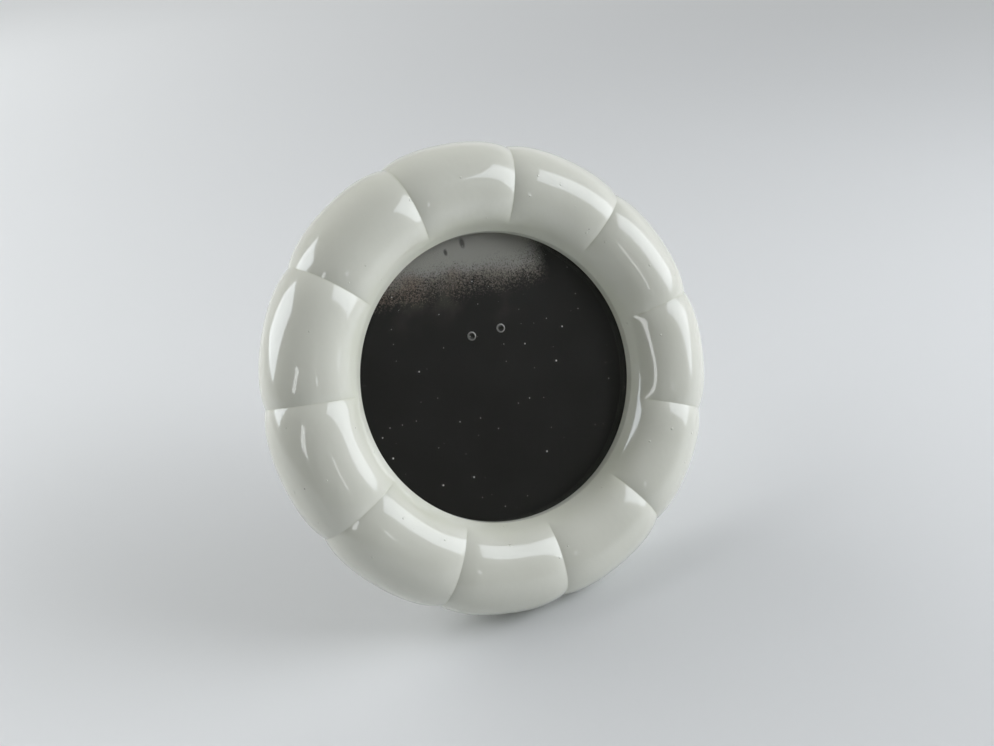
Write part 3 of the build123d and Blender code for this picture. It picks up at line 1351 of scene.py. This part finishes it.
@dataclass
class Studio:
    """The pale floor, the lamps, the room and the camera, with places and distances in metres."""

    stance: Stance
    floor_size: float = 9.0
    floor_colour: Colour = (0.726, 0.740, 0.748)
    floor_shade: float = 0.97
    floor_glow: Colour = (0.225, 0.230, 0.232)
    glow_middle: Point2 = (0.45, -0.20)
    glow_reach: Point2 = (0.45, 2.3)
    station_azimuth: float = -25.73
    station_elevation: float = 32.31
    station_distance: float = 0.3574
    look_azimuth: float = -25.41
    look_down: float = 32.06
    roll: float = -2.617
    focal_length: float = 30.41
    sensor_width: float = 36.0
    bright_azimuth: float = 110.0
    bright_wall: Colour = (0.94, 0.96, 0.98)
    dark_wall: Colour = (0.062, 0.064, 0.055)
    overhead: Colour = (0.140, 0.141, 0.134)
    seen: Colour = (0.46, 0.48, 0.50)
    lamps: tuple[Lamp, ...] = (
        Lamp("right_softbox", Beam.MIRRORED, 57.0, 28.8, 0.9, (0.47, 0.74), 2.7, 20.9, Tint.COLD),
        Lamp("right_key", Beam.LIGHTING, 60.5, 28.8, 0.92, (0.48, 0.76), 2.3, 20.9, Tint.COOL),
        Lamp("right_fill", Beam.LIGHTING, 70.0, 27.0, 1.8, (1.20, 1.20), 3.3, 0.0, Tint.COOL),
        Lamp("left_softbox", Beam.MIRRORED, -106.2, 31.2, 0.9, (0.51, 0.67), 4.4, -8.5, Tint.COLD),
        Lamp("left_fill", Beam.LIGHTING, -110.0, 31.2, 0.9, (0.51, 0.67), 1.8, -8.5),
        Lamp("back_fill", Beam.LIGHTING, -135.0, 35.0, 1.6, (1.6, 1.2), 1.7),
        Lamp("far_fill", Beam.LIGHTING, -150.0, 30.0, 3.0, (2.6, 2.0), 1.35),
        Lamp("front_strip", Beam.MIRRORED, -41.0, 24.0, 0.9, (0.11, 0.34), 4.0, -22.0),
        Lamp("front_spot", Beam.MIRRORED, 7.0, 19.0, 0.9, (0.05, 0.12), 2.8),
    )

    def floor(self) -> None:
        """Lays the pale floor, which has a painted glow far away from the lamps so that it stays pale to
        the eye there.
        """
        bpy.ops.mesh.primitive_plane_add(size=self.floor_size)
        floor = Bench.named("studio_floor")
        paint = Paint("pale_paper")
        point = paint.node("ShaderNodeTexCoord", out="Object")
        darker = tuple(self.floor_shade * part for part in self.floor_colour)
        colour = paint.mix(paint.clouds(point, 1.4, 2.0), self.floor_colour, darker)
        x, y, _ = paint.axes(point)
        # painted light: the floor glows more the farther it lies from glow_middle, for every ray but
        # diffuse ones, so it lights no dull surface
        away = (x - self.glow_middle[0]).length_with(y - self.glow_middle[1])
        far = away.rise(*self.glow_reach) * (1 - paint.ray("Is Diffuse Ray"))
        glow = paint.mix(far, (0.0, 0.0, 0.0), self.floor_glow)
        paper = paint.finish(
            Base_Color=colour, Roughness=0.75, Emission_Color=glow, Emission_Strength=1.0
        )
        floor.data.materials.append(paper)

    def room(self) -> None:
        """Sets the room up.

        Its walls are pale on one side and dark opposite. Polished surfaces mirror a pale backdrop
        behind the frame, and the camera sees one even colour.
        """
        world = bpy.data.worlds.new("studio_room")
        bpy.context.scene.world = world
        world.use_nodes = True
        nodes = Nodes(world.node_tree)
        x, y, z = nodes.axes(nodes.node("ShaderNodeTexCoord", out="Generated"))
        pale = towards(self.bright_azimuth, 0.0)
        side = (x * pale.x + y * pale.y).rise(0.1, 0.95) * z.rise(0.95, 0.3)
        walls = nodes.mix(side, self.dark_wall, self.bright_wall)
        around = nodes.mix(z.rise(0.25, 0.95), walls, self.overhead)
        backdrop = y.rise(-0.3, 0.4) * z.rise(0.45, 0.15) * nodes.ray("Is Glossy Ray")
        around = nodes.mix(backdrop, around, self.seen)
        around = nodes.mix(nodes.ray("Is Camera Ray"), around, self.seen)
        light = nodes.node("ShaderNodeBackground", sockets={"Color": around})
        nodes.node("ShaderNodeOutputWorld", sockets={"Surface": light}, out=None)

    def camera(self) -> None:
        """Places the camera where the photograph was taken from."""
        out = towards(self.station_azimuth, self.station_elevation)
        back = towards(self.look_azimuth, self.look_down)
        level = (-back).cross(Vector((0, 0, 1))).normalized()
        roll = math.radians(self.roll)
        right = level * math.cos(roll) + level.cross(-back) * math.sin(roll)
        axes = Matrix((right, back.cross(right), back)).transposed().to_4x4()
        lens = bpy.data.cameras.new("camera")
        lens.lens = self.focal_length
        lens.sensor_width = self.sensor_width
        lens.clip_start = 0.01
        lens.clip_end = 50.0
        camera = bpy.data.objects.new("camera", lens)
        camera.matrix_world = Matrix.Translation(self.stance.middle + out * self.station_distance) @ axes
        bpy.context.scene.collection.objects.link(camera)
        bpy.context.scene.camera = camera

    def build(self) -> None:
        """Sets up the whole studio."""
        self.floor()
        for lamp in self.lamps:
            lamp.build(self.stance.middle)
        self.room()
        self.camera()
        bpy.context.scene.view_settings.view_transform = "Standard"


def main() -> None:
    """Builds the frame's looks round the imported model, then the studio."""
    logging.basicConfig(level=logging.INFO, format="%(name)s: %(message)s")
    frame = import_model()
    stance = Stance.read(frame["joints"], GlassPane.thickness)
    assemblies = (
        CeramicRing(stance),
        GlassPane(stance),
        CoveredBoard("board", stance.place, SprayedPaper()),
        EaselHinge(stance),
        CoveredBoard("leg", stance.leg_place),
        TurnButtons(stance),
        Studio(stance),
    )
    for assembly in assemblies:
        assembly.build()


if __name__ == "__main__":
    main()
